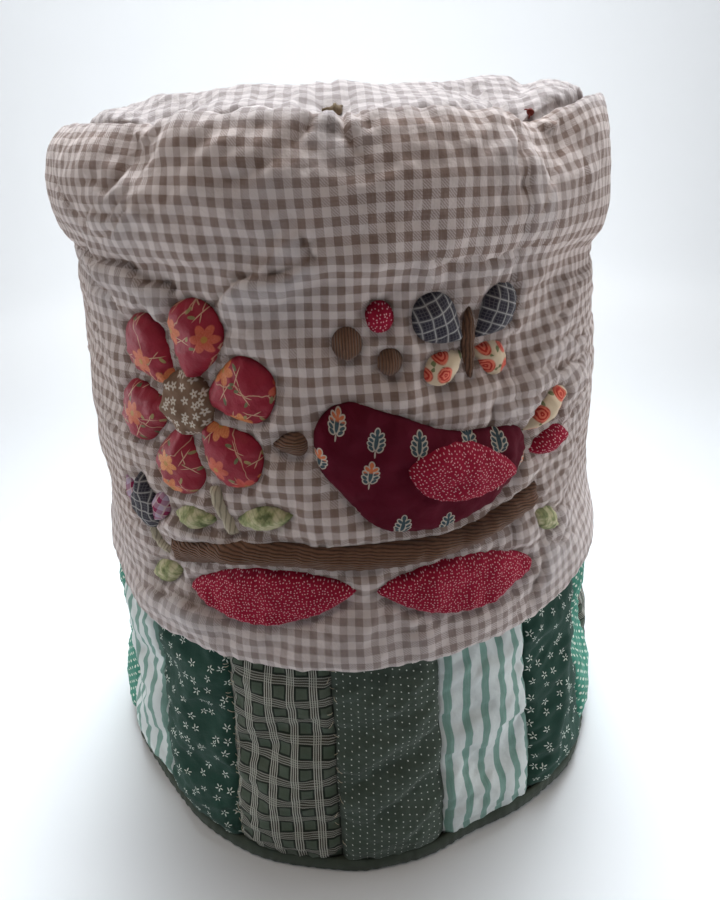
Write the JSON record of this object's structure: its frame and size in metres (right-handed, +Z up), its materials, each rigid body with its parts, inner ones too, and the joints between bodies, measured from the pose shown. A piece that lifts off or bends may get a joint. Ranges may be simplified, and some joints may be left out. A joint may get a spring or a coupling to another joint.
{
  "type": "padded cloth cover for an upturned water jug",
  "caption": "Round padded cover that slips over an upturned water jug, with a puffed rim, a patchwork band, a bound hem and padded appliqué.",
  "frame": {"origin": "centre of the footprint, on the surface that the hem rests on", "axes": "+Z up along the cover's axis, -Y is the front with the appliqué, +X is to the right seen from the front"},
  "size_m": [0.3728, 0.3732, 0.415],
  "materials": {
    "gingham": "brown and white woven check, matt cotton",
    "teal_dot": "teal cotton with small white dots",
    "green_stripe": "off-white cotton with sea-green stripes",
    "green_sprig": "dark green cotton with small white sprigs",
    "green_plaid": "grey-green plaid cotton with thin cream lines",
    "green_pin_dot": "grey-green cotton with pin dots",
    "binding_cotton": "plain green-black cotton binding",
    "burgundy_floral": "burgundy cotton with orange flowers",
    "dark_sprig": "dark burgundy cotton with cream-edged sprigs",
    "red_pebble": "red cotton with tiny white spots",
    "brown_corduroy": "fine-ribbed brown corduroy",
    "navy_check": "blue-black cotton with thin pale lines",
    "ecru_ticking": "ecru cotton with thin grey-brown stripes",
    "leaf_batik": "mottled ecru and green cotton",
    "coral_rose": "cream cotton with coral roses",
    "brown_lace_print": "brown cotton with white blossoms",
    "lilac_check": "burgundy and lilac checked cotton"
  },
  "bodies": {
    "root": {"gingham_wall": "gingham", "crown": "gingham", "panel_01": "green_sprig", "panel_02": "green_plaid", "panel_03": "green_pin_dot", "panel_04": "green_stripe", "panel_05": "green_sprig", "panel_06": "teal_dot", "panel_07": "green_plaid", "panel_08": "green_stripe", "panel_09": "green_pin_dot", "panel_10": "green_sprig", "panel_11": "teal_dot", "panel_12": "green_stripe", "panel_13": "green_plaid", "panel_14": "green_sprig", "panel_15": "green_pin_dot", "panel_16": "green_stripe", "panel_17": "teal_dot", "panel_18": "green_stripe", "hem_binding": "binding_cotton", "flower_petal_1": "burgundy_floral", "flower_petal_2": "burgundy_floral", "flower_petal_3": "burgundy_floral", "flower_petal_4": "burgundy_floral", "flower_petal_5": "burgundy_floral", "flower_petal_6": "burgundy_floral", "flower_centre": "brown_lace_print", "flower_stem": "ecru_ticking", "branch": "brown_corduroy", "base_leaf_left": "red_pebble", "base_leaf_right": "red_pebble", "bird_body": "dark_sprig", "bird_wing": "red_pebble", "bird_beak": "brown_corduroy", "bird_tail_upper": "coral_rose", "bird_tail_lower": "red_pebble", "leaf_1": "leaf_batik", "leaf_2": "leaf_batik", "leaf_3": "leaf_batik", "leaf_4": "leaf_batik", "tulip_stem": "ecru_ticking", "tulip_left": "lilac_check", "tulip_right": "lilac_check", "tulip_middle": "navy_check", "wing_upper_left": "navy_check", "wing_upper_right": "navy_check", "wing_lower_left": "coral_rose", "wing_lower_right": "coral_rose", "butterfly_body": "brown_corduroy", "berry_1": "brown_corduroy", "berry_2": "red_pebble", "berry_3": "brown_corduroy"}
  },
  "joints": []
}
